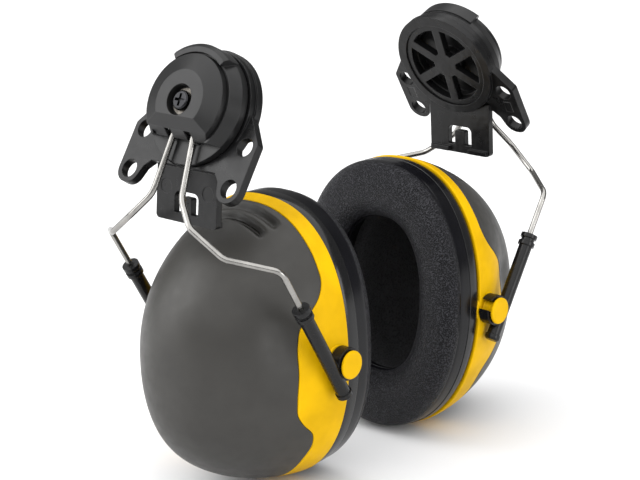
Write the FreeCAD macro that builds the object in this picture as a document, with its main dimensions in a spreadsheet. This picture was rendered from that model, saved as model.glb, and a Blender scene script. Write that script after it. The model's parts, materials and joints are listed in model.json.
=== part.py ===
import FreeCAD, Part
import math
import os

import Sketcher

# A pair of ear muffs that clip to a safety helmet, right and left.  +X points to the right unit, +Y to the
# rear and +Z up.  The origin lies midway between the two knob axes, where the helmet is.  Each unit is
# symmetric from front to rear, so the left unit is the right one turned half a turn about Z.
#
# Four local frames hold the pieces of a unit:
#   knob frame   origin where the knob's axis meets the bracket, x to the rear, y up the knob's face,
#                z out along the knob's axis
#   cup frame    origin in the middle of the cup's rim, x to the rear, y up, z out towards the dome
#   arm frame    origin on the cup's pivot axis, z up along the guide sleeves, y to the rear
#   unit frame   the model's own frame, used for the bent wire

Vector = FreeCAD.Vector
Rotation = FreeCAD.Rotation
Placement = FreeCAD.Placement

# Driving dimensions, in millimetres and degrees.
DIMENSIONS = {
    # for cuts that go right through a wall, and for solids that are joined
    "through": 12.0,
    "overlap": 1.0,
    # where the parts of a unit stand
    "knob_reach": 67.6,
    "knob_lean": 25.0,
    "pivot_reach": 42.6,
    "pivot_drop": 87.0,
    "cup_lean": 2.9,
    "sleeve_lean": 32.0,
    # helmet bracket
    "drum_radius": 21.2,
    "drum_inner_end": 4.3,
    "drum_outer_end": 1.0,
    "rim_radius": 21.9,
    "rim_width": 2.6,
    "rim_half_angle": 93.0,
    "lip_radius": 16.0,
    "lip_back": 0.5,
    "hub_bore_radius": 18.1,
    "disc_seat": 1.2,
    "disc_seat_radius": 20.7,
    "wing_lean": 7.0,
    "wing_plane": -0.13,
    "wing_thickness": 3.2,
    "wing_root_reach": 19.0,
    "wing_root_rise": 4.0,
    "wing_reach": 28.8,
    "wing_shoulder_drop": 8.2,
    "wing_foot_drop": 30.0,
    "wing_foot_reach": 20.2,
    "wing_web": 3.25,
    "wing_lobe_round": 4.7,
    "wing_shoulder_round": 1.6,
    "screw_hole_radius": 3.3,
    "hole_reach": 23.8,
    "upper_hole_drop": 10.0,
    "lower_hole_drop": 25.0,
    "wing_pocket_width": 3.4,
    "wing_pocket_height": 5.0,
    "wing_pocket_depth": 1.0,
    # blade for the helmet's slot
    "blade_lean": 21.1,
    "blade_top_drop": 20.0,
    "blade_width": 29.0,
    "blade_length": 19.6,
    "blade_thickness": 2.5,
    "blade_corner": 1.6,
    "blade_root": 1.6,
    "blade_step": 0.6,
    "latch_outer": 5.7,
    "latch_inner": 2.4,
    "latch_top": 8.8,
    "latch_bar": 1.8,
    "latch_foot": 16.4,
    "latch_round": 2.2,
    "tongue_round": 0.7,
    "mark_radius": 2.6,
    "mark_reach": 10.0,
    "mark_drop": 8.0,
    "mark_depth": 0.2,
    "tab_inner": 4.8,
    "tab_outer": 13.6,
    "tab_height": 1.8,
    "tab_depth": 1.4,
    "tab_lift": 0.4,
    # swivelling housing
    "disc_radius": 20.2,
    "disc_back": 1.5,
    "disc_face": 4.2,
    "spigot_radius": 15.95,
    "wall_inner": 17.0,
    "wall_top_radius": 17.9,
    "wall_top": 8.3,
    "hood_radius": 20.9,
    "hood_inner": 17.6,
    "hood_top": 9.9,
    "hood_half_angle": 37.0,
    "hood_bevel": 1.4,
    "flat_drop": 12.1,
    "groove_width": 3.4,
    "groove_splay": 1.3,
    "groove_depth": 0.7,
    # cap
    "cap_radius": 16.85,
    "cap_shoulder": 10.6,
    "cap_top": 13.1,
    "plateau_radius": 10.5,
    "plateau_drop": 5.6,
    "slope_drop": 9.6,
    "slope_height": 10.4,
    "slope_foot": 6.8,
    "cap_wall": 1.1,
    "cap_ceiling": 8.9,
    "cap_ceiling_drop": 9.4,
    "cap_step": 8.35,
    "cap_step_drop": 10.3,
    "cap_foot": 7.3,
    "cap_foot_drop": 10.62,
    "recess_radius": 5.45,
    "recess_floor": 9.8,
    "post_radius": 4.8,
    "wire_notch_width": 2.9,
    "wire_notch_splay": 0.3,
    "wire_notch_top": 10.0,
    "wire_notch_drop": 9.2,
    # screw, washer and hub
    "shank_radius": 1.9,
    "shank_end": -3.0,
    "clear_hole_radius": 2.1,
    "washer_radius": 4.7,
    "washer_thickness": 0.8,
    "head_radius": 3.5,
    "head_height": 2.2,
    "head_round": 1.0,
    "cross_width": 1.0,
    "cross_length": 4.4,
    "cross_depth": 1.3,
    "hub_radius": 18.0,
    "hub_back": -0.8,
    "hub_thickness": 2.9,
    "hub_rim_width": 2.2,
    "spoke_width": 3.5,
    "boss_radius": 5.2,
    "window_floor": 2.2,
    "window_inner": 5.4,
    "window_outer": 15.2,
    # arm: barrel, springs and wire
    "barrel_drop": 8.2,
    "barrel_height": 6.2,
    "barrel_radius": 2.25,
    "barrel_half_length": 5.9,
    "barrel_clearance": 0.15,
    "journal_radius": 1.2,
    "journal_clearance": 0.05,
    "journal_end": 9.8,
    "cheek_start": 8.7,
    "cheek_end": 10.0,
    "cheek_half_width": 2.0,
    "cheek_top": 8.2,
    "spring_radius": 1.75,
    "spring_wire_radius": 0.28,
    "spring_pitch": 0.7,
    "spring_turns": 3.0,
    "spring_start": 6.3,
    "wire_radius": 1.1,
    "wire_half_gap": 4.4,
    "wire_end": 3.0,
    "wire_shoulder_rise": 50.3,
    "wire_elbow_reach": 27.0,
    "wire_elbow_drop": 47.4,
    "wire_elbow_height": -1.3,
    "wire_knee_reach": 14.0,
    "wire_knee_drop": 40.5,
    "wire_knee_height": 5.2,
    "wire_neck_reach": 7.0,
    "wire_neck_drop": 32.0,
    "wire_neck_height": 5.3,
    "wire_shoulder_bend": 5.0,
    "wire_elbow_bend": 6.0,
    "wire_knee_bend": 7.0,
    "wire_neck_bend": 9.0,
    "wire_crank_bend": 2.2,
    # guide sleeves
    "sleeve_offset": 6.1,
    "sleeve_reach": 41.6,
    "sleeve_radius": 2.55,
    "sleeve_bottom": 10.5,
    "sleeve_top": 32.9,
    "sleeve_bore_radius": 1.16,
    "sleeve_floor": 1.5,
    "collar_radius": 3.2,
    "collar_height": 1.6,
    "collar_gap": 1.44,
    "foot_radius": 2.95,
    "foot_height": 2.2,
    "foot_bevel": 0.7,
    "clip_radius": 5.8,
    "clip_bore_radius": 3.26,
    "clip_width": 4.3,
    "clip_gap": 4.0,
    # ear cup
    "cup_half_width": 39.3,
    "cup_half_height": 51.4,
    "cup_depth": 51.0,
    "cup_sink": 7.2,
    "cup_wall": 2.5,
    "stud_radius": 3.2,
    "stud_rise": 1.0,
    "stud_height": 5.0,
    "stud_start": 37.6,
    "stud_boss_radius": 4.9,
    "stud_boss_end": 38.9,
    "stud_head_radius": 5.05,
    "stud_head_start": 44.2,
    "stud_head_end": 45.4,
    "stud_head_bevel": 0.4,
    # base ring, cushion and foam
    "ring_half_width": 38.8,
    "ring_half_height": 50.9,
    "ring_depth": 5.5,
    "ring_bevel": 0.8,
    "ring_open_half_width": 25.5,
    "ring_open_half_height": 36.0,
    "ring_spigot_height": 3.0,
    "ring_spigot_wall": 2.0,
    "ring_spigot_gap": 0.6,
    "frame_half_width": 36.5,
    "frame_half_height": 48.5,
    "frame_thickness": 1.6,
    "cushion_half_width": 38.0,
    "cushion_half_height": 50.4,
    "cushion_height": 11.0,
    "cushion_open_half_width": 20.5,
    "cushion_open_half_height": 30.0,
    "cushion_open_rise": 2.0,
    "cushion_round": 6.0,
    "cushion_mouth_round": 4.0,
    "filling_inset": 4.0,
    "filling_height": 7.0,
    "liner_gap": 0.6,
    "liner_start": 3.6,
    "liner_mouth_half_width": 24.0,
    "liner_mouth_half_height": 35.0,
    "liner_floor": 22.0,
}

# Fullness of the dome: how a section's half width, its height above the axis and its depth below the axis
# shrink from the rim (0) to the crown (1).
DOME_POWER = 1.55
DOME_SIDE_ROOT = 2.36
DOME_TOP_ROOT = 3.53
DOME_FOOT_ROOT = 2.36
DOME_STATIONS = (0.0, 0.2, 0.4, 0.6, 0.76, 0.88, 0.96)

# The wavy line where the band meets the dome's shell: height up the cup, depth from the rim.
BAND_LINE = (
    (55.4, 4.2), (44.0, 5.2), (35.0, 6.1), (29.0, 7.3), (24.0, 10.3), (20.2, 14.3), (16.2, 18.1),
    (10.0, 20.0), (0.0, 20.7), (-11.0, 21.3), (-16.0, 20.6), (-20.5, 17.6), (-25.0, 13.2),
    (-29.5, 11.5), (-37.0, 11.9), (-46.0, 11.2), (-55.4, 10.5),
)

# Points along one turn of a spring's helix.
SPRING_STEPS = 12

doc = FreeCAD.newDocument("helmet_ear_muffs")
sheet = doc.addObject("Spreadsheet::Sheet", "dim")
for row, (alias, number) in enumerate(DIMENSIONS.items(), start=1):
    sheet.set(f"A{row}", alias)
    sheet.set(f"B{row}", str(number))
    sheet.setAlias(f"B{row}", alias)
doc.recompute()

sub_parts = []


# ---------------------------------------------------------------- helpers

def value(expression):
    """The number that an expression over the sheet gives."""
    return float(sheet.evalExpression(expression))


def new_body(name):
    return doc.addObject("PartDesign::Body", name)


def origin_plane(body, role):
    return next(f for f in body.Origin.OriginFeatures if f.Role == role)


def new_sketch(body, name, role="XY_Plane", height="0", rise="0", tilt="0"):
    """A sketch on an origin plane of its body, lifted by height, moved by rise and tilted about its x."""
    sketch = body.newObject("Sketcher::SketchObject", name)
    sketch.AttachmentSupport = [(origin_plane(body, role), "")]
    sketch.MapMode = "FlatFace"
    sketch.AttachmentOffset = Placement(Vector(0, value(rise), value(height)),
                                        Rotation(Vector(1, 0, 0), value(tilt)))
    sketch.setExpression("AttachmentOffset.Base.y", rise)
    sketch.setExpression("AttachmentOffset.Base.z", height)
    return sketch


def dimension(sketch, kind, *where, size):
    index = sketch.addConstraint(Sketcher.Constraint(kind, *where, value(size)))
    sketch.setExpression(f"Constraints[{index}]", size)


def pin_point(sketch, shape, point, x, y):
    """Hold one point of a sketch at x, y."""
    if x == "0":
        sketch.addConstraint(Sketcher.Constraint("PointOnObject", shape, point, -2))
    else:
        dimension(sketch, "DistanceX", -1, 1, shape, point, size=x)
    if y == "0":
        sketch.addConstraint(Sketcher.Constraint("PointOnObject", shape, point, -1))
    else:
        dimension(sketch, "DistanceY", -1, 1, shape, point, size=y)


def circle(sketch, radius, x="0", y="0"):
    shape = sketch.addGeometry(Part.Circle(Vector(value(x), value(y), 0), Vector(0, 0, 1), value(radius)))
    pin_point(sketch, shape, 3, x, y)
    dimension(sketch, "Radius", shape, size=radius)


def polygon(sketch, corners):
    """A closed outline of straight lines through corners given as pairs of expressions."""
    points = [Vector(value(x), value(y), 0) for x, y in corners]
    lines = []
    for start, end in zip(points, points[1:] + points[:1]):
        lines.append(sketch.addGeometry(Part.LineSegment(start, end)))
    for line, after in zip(lines, lines[1:] + lines[:1]):
        sketch.addConstraint(Sketcher.Constraint("Coincident", line, 2, after, 1))
    for line, (x, y) in zip(lines, corners):
        pin_point(sketch, line, 1, x, y)


def rectangle(sketch, left, right, bottom, top):
    polygon(sketch, [(left, bottom), (right, bottom), (right, top), (left, top)])


def ellipse(sketch, half_width, half_height, centre_y="0"):
    """An upright ellipse whose two diameters are bound to the sheet."""
    centre = Vector(0, value(centre_y), 0)
    top = centre + Vector(0, value(half_height), 0)
    side = centre + Vector(value(half_width), 0, 0)
    shape = sketch.addGeometry(Part.Ellipse(top, side, centre))
    sketch.exposeInternalGeometry(shape)
    long_axis, short_axis = shape + 1, shape + 2
    pin_point(sketch, shape, 3, "0", centre_y)
    sketch.addConstraint(Sketcher.Constraint("Vertical", long_axis))
    dimension(sketch, "Distance", long_axis, size=f"2 * ({half_height})")
    dimension(sketch, "Distance", short_axis, size=f"2 * ({half_width})")


def d_outline(sketch, radius, drop):
    """A circle cut off by a flat line below its centre."""
    r, d = value(radius), value(drop)
    half = math.sqrt(r * r - d * d)
    flat = sketch.addGeometry(Part.LineSegment(Vector(-half, -d, 0), Vector(half, -d, 0)))
    ends = (math.atan2(-d, half), math.atan2(-d, -half) + 2 * math.pi)
    arc = sketch.addGeometry(Part.ArcOfCircle(Part.Circle(Vector(0, 0, 0), Vector(0, 0, 1), r), *ends))
    sketch.addConstraint(Sketcher.Constraint("Coincident", flat, 2, arc, 1))
    sketch.addConstraint(Sketcher.Constraint("Coincident", flat, 1, arc, 2))
    sketch.addConstraint(Sketcher.Constraint("Coincident", arc, 3, -1, 1))
    sketch.addConstraint(Sketcher.Constraint("Horizontal", flat))
    dimension(sketch, "Radius", arc, size=radius)
    dimension(sketch, "DistanceY", -1, 1, flat, 1, size=f"-({drop})")


def ring_sector(sketch, inner, outer, half_angle):
    """Part of a ring, half_angle to each side of straight up."""
    r_in, r_out, half = value(inner), value(outer), math.radians(value(half_angle))
    first, last = math.pi / 2 - half, math.pi / 2 + half
    origin, normal = Vector(0, 0, 0), Vector(0, 0, 1)
    arc_in = sketch.addGeometry(Part.ArcOfCircle(Part.Circle(origin, normal, r_in), first, last))
    arc_out = sketch.addGeometry(Part.ArcOfCircle(Part.Circle(origin, normal, r_out), first, last))
    for angle, end in ((first, 1), (last, 2)):
        way = Vector(math.cos(angle), math.sin(angle), 0)
        side = sketch.addGeometry(Part.LineSegment(way * r_in, way * r_out))
        sketch.addConstraint(Sketcher.Constraint("Coincident", side, 1, arc_in, end))
        sketch.addConstraint(Sketcher.Constraint("Coincident", side, 2, arc_out, end))
    for arc, size in ((arc_in, inner), (arc_out, outer)):
        sketch.addConstraint(Sketcher.Constraint("Coincident", arc, 3, -1, 1))
        dimension(sketch, "Radius", arc, size=size)


def extrude(kind, body, sketch, length, reverse=False, midplane=False):
    feature = body.newObject(f"PartDesign::{kind}", f"{sketch.Name}_{kind.lower()}")
    feature.Profile = sketch
    feature.setExpression("Length", length)
    feature.Reversed = reverse
    feature.Midplane = midplane
    sketch.Visibility = False
    body.Tip = feature
    return feature


def pad(body, sketch, length, **options):
    return extrude("Pad", body, sketch, length, **options)


def pocket(body, sketch, length, **options):
    """A pocket that must take something away."""
    doc.recompute()
    before = body.Shape.Volume
    feature = extrude("Pocket", body, sketch, length, **options)
    doc.recompute()
    if body.Shape.Volume > before - 1e-3:
        raise RuntimeError(f"{feature.Name} cuts nothing")
    return feature


def loft(kind, body, name, sketches):
    feature = body.newObject(f"PartDesign::{kind}Loft", name)
    feature.Profile = sketches[0]
    feature.Sections = sketches[1:]
    body.Tip = feature
    return feature


def edges_where(body, test):
    """Names of the body's edges that pass a test."""
    doc.recompute()
    return [f"Edge{i}" for i, edge in enumerate(body.Shape.Edges, start=1) if test(edge)]


def dress(kind, body, name, edges, **sizes):
    if not edges:
        raise RuntimeError(f"{name} has no edges")
    base = body.Tip
    feature = body.newObject(f"PartDesign::{kind}", name)
    feature.Base = (base, edges)
    for prop, size in sizes.items():
        feature.setExpression(prop, size)
    body.Tip = feature
    doc.recompute()
    if feature.Shape.isNull():
        raise RuntimeError(f"{name} failed")
    return feature


def fillet(body, name, edges, radius):
    return dress("Fillet", body, name, edges, Radius=radius)


def chamfer(body, name, edges, size):
    return dress("Chamfer", body, name, edges, Size=size)


def leaning_normal(tilt):
    """The normal of a sketch that is tilted about its x axis."""
    return Rotation(Vector(1, 0, 0), value(tilt)).multVec(Vector(0, 0, 1))


def along(way):
    """A test for straight edges that run along a unit vector."""

    def test(edge):
        if not isinstance(edge.Curve, Part.Line):
            return False
        return abs(abs(edge.Curve.Direction.dot(way)) - 1) < 1e-6
    return test


def place(side, frame):
    """Where a local frame of the right unit stands on one side of the model."""
    half_turn = Rotation(Vector(0, 0, 1), 0 if side == "right" else 180)
    return Placement(Vector(0, 0, 0), half_turn).multiply(frame)


def keep(side, name, piece):
    """Give a finished piece its name, and keep it for export."""
    piece.Label = f"{side}_{name}"
    sub_parts.append(piece)


def finish(side, name, piece, frame):
    """Move a finished piece from its local frame to its place, and keep it."""
    piece.Placement = place(side, frame)
    keep(side, name, piece)


# ---------------------------------------------------------------- local frames of the right unit

# Turns x, y, z into the model's Y, Z, X.
AXES_TO_UNIT = Rotation(Vector(1, 1, 1), 120)


def knob_frame():
    lean = Rotation(Vector(0, 1, 0), -value("dim.knob_lean"))
    return Placement(Vector(value("dim.knob_reach"), 0, 0), lean.multiply(AXES_TO_UNIT))


def pivot_point():
    return Vector(value("dim.pivot_reach"), 0, -value("dim.pivot_drop"))


def cup_frame():
    turn = Rotation(Vector(0, 1, 0), value("dim.cup_lean")).multiply(AXES_TO_UNIT)
    stud = turn.multVec(Vector(0, value("dim.stud_rise"), value("dim.stud_height")))
    return Placement(pivot_point() - stud, turn)


def arm_frame():
    return Placement(pivot_point(), Rotation(Vector(0, 1, 0), value("dim.sleeve_lean")))


UNIT_FRAME = Placement()


# ---------------------------------------------------------------- helmet bracket

def mirrored(corners):
    """An outline from its right half, listed from the top down."""
    left = [(f"-({x})", y) for x, y in reversed(corners)]
    return corners + left


def build_bracket(side):
    body = new_body(f"{side}_bracket_body")
    wings = new_sketch(body, f"{side}_wing_outline", height="dim.wing_plane", tilt="-dim.wing_lean")
    polygon(wings, mirrored([
        ("dim.wing_root_reach", "dim.wing_root_rise"),
        ("dim.rim_radius + dim.overlap", "-dim.overlap / 2"),
        ("dim.wing_reach", "-dim.wing_shoulder_drop"),
        ("dim.wing_reach", "-dim.wing_foot_drop"),
        ("dim.wing_foot_reach", "-dim.wing_foot_drop"),
        ("dim.blade_width / 2 + dim.wing_web", "-dim.blade_top_drop - dim.wing_web"),
        ("dim.blade_width / 2 + dim.blade_step", "-dim.blade_top_drop - dim.blade_step"),
    ]))
    pad(body, wings, "dim.wing_thickness", reverse=True)
    upright = along(leaning_normal("-dim.wing_lean"))
    lobe = -value("dim.lower_hole_drop")
    feet = edges_where(body, lambda e: upright(e) and e.CenterOfMass.y < lobe)
    fillet(body, f"{side}_wing_lobes", feet, "dim.wing_lobe_round")
    outer = value("dim.wing_reach - dim.overlap")
    shoulders = edges_where(body, lambda e: upright(e) and abs(e.CenterOfMass.x) > outer
                            and e.CenterOfMass.y > lobe / 2)
    fillet(body, f"{side}_wing_shoulders", shoulders, "dim.wing_shoulder_round")

    blade = new_sketch(body, f"{side}_blade_outline", rise="-dim.blade_top_drop", tilt="dim.blade_lean")
    rectangle(blade, "-dim.blade_width / 2", "dim.blade_width / 2", "-dim.blade_length", "dim.blade_root")
    pad(body, blade, "dim.blade_thickness", reverse=True)
    upright = along(leaning_normal("dim.blade_lean"))
    halfway = -value("dim.blade_top_drop + dim.blade_length / 2")
    foot = edges_where(body, lambda e: upright(e) and e.CenterOfMass.y < halfway)
    fillet(body, f"{side}_blade_corners", foot, "dim.blade_corner")

    tabs = new_sketch(body, f"{side}_tab_outlines", rise="-dim.blade_top_drop", tilt="dim.blade_lean")
    tab_foot = "dim.tab_lift - dim.blade_length"
    tab_top = f"{tab_foot} + dim.tab_height"
    rectangle(tabs, "dim.tab_inner", "dim.tab_outer", tab_foot, tab_top)
    rectangle(tabs, "-dim.tab_outer", "-dim.tab_inner", tab_foot, tab_top)
    pad(body, tabs, "dim.blade_thickness + dim.tab_depth", reverse=True)

    drum = new_sketch(body, f"{side}_drum_outline", height="-dim.drum_inner_end")
    circle(drum, "dim.drum_radius")
    pad(body, drum, "dim.drum_inner_end + dim.drum_outer_end")
    rim = new_sketch(body, f"{side}_rim_outline", height="-dim.drum_inner_end")
    ring_sector(rim, "dim.rim_radius - 2 * dim.overlap", "dim.rim_radius", "dim.rim_half_angle")
    pad(body, rim, "dim.rim_width")

    seat = new_sketch(body, f"{side}_disc_seat", height="dim.disc_seat")
    circle(seat, "dim.disc_seat_radius")
    pocket(body, seat, "dim.through", reverse=True)
    bore = new_sketch(body, f"{side}_hub_bore", height="-dim.lip_back")
    circle(bore, "dim.hub_bore_radius")
    pocket(body, bore, "dim.through")
    throat = new_sketch(body, f"{side}_throat", height="dim.disc_seat")
    circle(throat, "dim.lip_radius")
    pocket(body, throat, "dim.through")

    holes = new_sketch(body, f"{side}_screw_holes", height="dim.wing_plane", tilt="-dim.wing_lean")
    for way in ("", "-"):
        for drop in ("dim.upper_hole_drop", "dim.lower_hole_drop"):
            circle(holes, "dim.screw_hole_radius", f"{way}dim.hole_reach", f"-{drop}")
    pocket(body, holes, "dim.through", midplane=True)
    pockets = new_sketch(body, f"{side}_wing_pockets", height="dim.wing_plane - dim.wing_thickness",
                         tilt="-dim.wing_lean")
    middle = "(dim.upper_hole_drop + dim.lower_hole_drop) / 2"
    for way in ("", "-"):
        inner = f"{way}(dim.hole_reach - dim.wing_pocket_width / 2)"
        outer = f"{way}(dim.hole_reach + dim.wing_pocket_width / 2)"
        left, right = (inner, outer) if way == "" else (outer, inner)
        rectangle(pockets, left, right, f"-{middle} - dim.wing_pocket_height / 2",
                  f"-{middle} + dim.wing_pocket_height / 2")
    pocket(body, pockets, "dim.wing_pocket_depth", reverse=True)

    latch = new_sketch(body, f"{side}_latch_slot", rise="-dim.blade_top_drop", tilt="dim.blade_lean")
    polygon(latch, [
        ("-dim.latch_outer", "-dim.latch_foot"),
        ("-dim.latch_inner", "-dim.latch_foot"),
        ("-dim.latch_inner", "-dim.latch_top - dim.latch_bar"),
        ("dim.latch_inner", "-dim.latch_top - dim.latch_bar"),
        ("dim.latch_inner", "-dim.latch_foot"),
        ("dim.latch_outer", "-dim.latch_foot"),
        ("dim.latch_outer", "-dim.latch_top"),
        ("-dim.latch_outer", "-dim.latch_top"),
    ])
    pocket(body, latch, "dim.through", midplane=True)
    for name, half_width, drop, radius in (
        ("slot", "dim.latch_outer", "dim.latch_top", "dim.latch_round"),
        ("tongue", "dim.latch_inner", "dim.latch_top + dim.latch_bar", "dim.tongue_round"),
    ):
        lift = Rotation(Vector(1, 0, 0), value("dim.blade_lean")).multVec(Vector(0, -value(drop), 0))
        low = lift.y - value("dim.blade_top_drop")
        tops = edges_where(body, lambda e: upright(e) and abs(e.CenterOfMass.y - low) < 2
                           and abs(abs(e.CenterOfMass.x) - value(half_width)) < 1e-3)
        fillet(body, f"{side}_{name}_corners", tops, radius)
    marks = new_sketch(body, f"{side}_ejector_marks", rise="-dim.blade_top_drop", tilt="dim.blade_lean")
    for way in ("", "-"):
        circle(marks, "dim.mark_radius", f"{way}dim.mark_reach", "-dim.mark_drop")
    pocket(body, marks, "dim.mark_depth")
    finish(side, "helmet_bracket", body, knob_frame())


# ---------------------------------------------------------------- knob: hub, housing, cap, washer, screw

def build_hub(side):
    """The six-spoked wheel that holds the knob in the bracket from behind."""
    body = new_body(f"{side}_hub_body")
    rim = new_sketch(body, f"{side}_hub_rim", height="dim.hub_back")
    circle(rim, "dim.hub_radius")
    circle(rim, "dim.hub_radius - dim.hub_rim_width")
    pad(body, rim, "dim.hub_thickness", reverse=True)
    spokes = new_sketch(body, f"{side}_hub_spokes", height="dim.hub_back")
    rectangle(spokes, "-dim.spoke_width / 2", "dim.spoke_width / 2", "0",
              "dim.hub_radius - dim.hub_rim_width / 2")
    spoke = pad(body, spokes, "dim.hub_thickness", reverse=True)
    doc.recompute()
    pattern = body.newObject("PartDesign::PolarPattern", f"{side}_hub_spoke_pattern")
    pattern.Originals = [spoke]
    pattern.Axis = (spokes, ["N_Axis"])
    pattern.Angle = 360
    pattern.Occurrences = 6
    body.Tip = pattern
    boss = new_sketch(body, f"{side}_hub_boss", height="dim.hub_back")
    circle(boss, "dim.boss_radius")
    pad(body, boss, "dim.hub_thickness", reverse=True)
    thread = new_sketch(body, f"{side}_hub_thread", height="dim.hub_back")
    circle(thread, "dim.shank_radius")
    pocket(body, thread, "dim.hub_back - dim.shank_end")
    finish(side, "hub_disc", body, knob_frame())


def build_housing(side):
    body = new_body(f"{side}_housing_body")
    disc = new_sketch(body, f"{side}_housing_disc", height="dim.disc_back")
    circle(disc, "dim.disc_radius")
    pad(body, disc, "dim.disc_face - dim.disc_back")
    spigot = new_sketch(body, f"{side}_housing_spigot", height="dim.disc_back")
    circle(spigot, "dim.spigot_radius")
    pad(body, spigot, "dim.disc_back - dim.hub_back", reverse=True)
    recess = new_sketch(body, f"{side}_spigot_recess", height="dim.hub_back")
    circle(recess, "dim.window_outer")
    circle(recess, "dim.window_inner")
    pocket(body, recess, "dim.window_floor - dim.hub_back", reverse=True)

    wall = new_sketch(body, f"{side}_housing_wall", role="XZ_Plane")
    polygon(wall, [
        ("dim.wall_inner", "dim.disc_face - dim.overlap"),
        ("dim.disc_radius", "dim.disc_face - dim.overlap"),
        ("dim.disc_radius", "dim.disc_face"),
        ("dim.wall_top_radius", "dim.wall_top"),
        ("dim.wall_inner", "dim.wall_top"),
    ])
    turned = body.newObject("PartDesign::Revolution", f"{side}_housing_wall_turned")
    turned.Profile = wall
    turned.ReferenceAxis = (wall, ["V_Axis"])
    turned.Angle = 360
    body.Tip = turned
    below = new_sketch(body, f"{side}_housing_open_side", height="dim.disc_face")
    beyond = "(dim.disc_radius + dim.overlap)"
    rectangle(below, f"-{beyond}", beyond, f"-{beyond}", "-dim.flat_drop")
    pocket(body, below, "dim.through", reverse=True)

    hood = new_sketch(body, f"{side}_hood_outline", height="dim.disc_face - dim.overlap")
    ring_sector(hood, "dim.hood_inner", "dim.hood_radius", "dim.hood_half_angle")
    pad(body, hood, "dim.hood_top - dim.disc_face + dim.overlap")
    top = value("dim.hood_top")
    rim = edges_where(body, lambda e: isinstance(e.Curve, Part.Circle) and abs(e.CenterOfMass.z - top) < 1e-3
                      and abs(e.Curve.Radius - value("dim.hood_radius")) < 1e-3)
    chamfer(body, f"{side}_hood_edge", rim, "dim.hood_bevel")

    cheeks = new_sketch(body, f"{side}_bearing_cheeks", height="dim.disc_face - dim.overlap")
    low = "-dim.barrel_drop - dim.cheek_half_width"
    high = "-dim.barrel_drop + dim.cheek_half_width"
    rectangle(cheeks, "dim.cheek_start", "dim.cheek_end", low, high)
    rectangle(cheeks, "-dim.cheek_end", "-dim.cheek_start", low, high)
    pad(body, cheeks, "dim.cheek_top - dim.disc_face + dim.overlap")
    journal = new_sketch(body, f"{side}_journal_bore", role="YZ_Plane")
    circle(journal, "dim.journal_radius + dim.journal_clearance", "-dim.barrel_drop", "dim.barrel_height")
    pocket(body, journal, "2 * (dim.cheek_end + dim.overlap)", midplane=True)
    cradle = new_sketch(body, f"{side}_barrel_cradle", role="YZ_Plane")
    circle(cradle, "dim.barrel_radius + dim.barrel_clearance", "-dim.barrel_drop", "dim.barrel_height")
    pocket(body, cradle, "2 * dim.cheek_start", midplane=True)

    grooves = new_sketch(body, f"{side}_wire_grooves", height="dim.disc_face")
    for centre in ("dim.wire_half_gap + dim.groove_splay", "-dim.wire_half_gap - dim.groove_splay"):
        rectangle(grooves, f"{centre} - dim.groove_width / 2", f"{centre} + dim.groove_width / 2",
                  f"-{beyond}", "-dim.flat_drop - dim.overlap / 2")
    pocket(body, grooves, "dim.groove_depth")
    hole = new_sketch(body, f"{side}_housing_screw_hole", height="dim.disc_face")
    circle(hole, "dim.clear_hole_radius")
    pocket(body, hole, "dim.through")
    finish(side, "swivel_housing", body, knob_frame())


def build_cap(side):
    body = new_body(f"{side}_cap_body")
    section = new_sketch(body, f"{side}_cap_section", role="XZ_Plane")
    polygon(section, [
        ("0", "dim.disc_face"),
        ("dim.cap_radius", "dim.disc_face"),
        ("dim.cap_radius", "dim.cap_shoulder"),
        ("dim.plateau_radius", "dim.cap_top"),
        ("0", "dim.cap_top"),
    ])
    turned = body.newObject("PartDesign::Revolution", f"{side}_cap_turned")
    turned.Profile = section
    turned.ReferenceAxis = (section, ["V_Axis"])
    turned.Angle = 360
    body.Tip = turned
    # The side the wire leaves by is cut away: upright at the foot, then in two slopes up to the plateau.
    slope = new_sketch(body, f"{side}_cap_slope", role="YZ_Plane")
    beyond = "-(dim.cap_radius + dim.overlap)"
    rise = "(dim.cap_top - dim.slope_height) / (dim.slope_drop - dim.plateau_drop)"
    polygon(slope, [
        (beyond, "dim.disc_face - dim.overlap"),
        ("-dim.flat_drop", "dim.disc_face - dim.overlap"),
        ("-dim.flat_drop", "dim.slope_foot"),
        ("-dim.slope_drop", "dim.slope_height"),
        ("dim.overlap - dim.plateau_drop", f"dim.cap_top + dim.overlap * {rise}"),
        (beyond, f"dim.cap_top + dim.overlap * {rise}"),
    ])
    pocket(body, slope, "2 * dim.cap_radius + dim.overlap", midplane=True)

    for name, drop, ceiling in (("foot", "dim.cap_foot_drop", "dim.cap_foot"),
                                ("step", "dim.cap_step_drop", "dim.cap_step"),
                                ("top", "dim.cap_ceiling_drop", "dim.cap_ceiling")):
        hollow = new_sketch(body, f"{side}_cap_hollow_{name}", height="dim.disc_face")
        d_outline(hollow, "dim.cap_radius - dim.cap_wall", drop)
        circle(hollow, "dim.post_radius")
        pocket(body, hollow, f"{ceiling} - dim.disc_face", reverse=True)
    recess = new_sketch(body, f"{side}_cap_recess", height="dim.cap_top")
    circle(recess, "dim.recess_radius")
    pocket(body, recess, "dim.cap_top - dim.recess_floor")
    hole = new_sketch(body, f"{side}_cap_screw_hole", height="dim.recess_floor")
    circle(hole, "dim.clear_hole_radius")
    pocket(body, hole, "dim.through")
    notches = new_sketch(body, f"{side}_wire_notches", height="dim.disc_face")
    for centre in ("dim.wire_half_gap + dim.wire_notch_splay", "-dim.wire_half_gap - dim.wire_notch_splay"):
        rectangle(notches, f"{centre} - dim.wire_notch_width / 2", f"{centre} + dim.wire_notch_width / 2",
                  "-dim.flat_drop - dim.overlap", "-dim.wire_notch_drop")
    pocket(body, notches, "dim.wire_notch_top - dim.disc_face", reverse=True)
    finish(side, "knob_cap", body, knob_frame())


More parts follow.
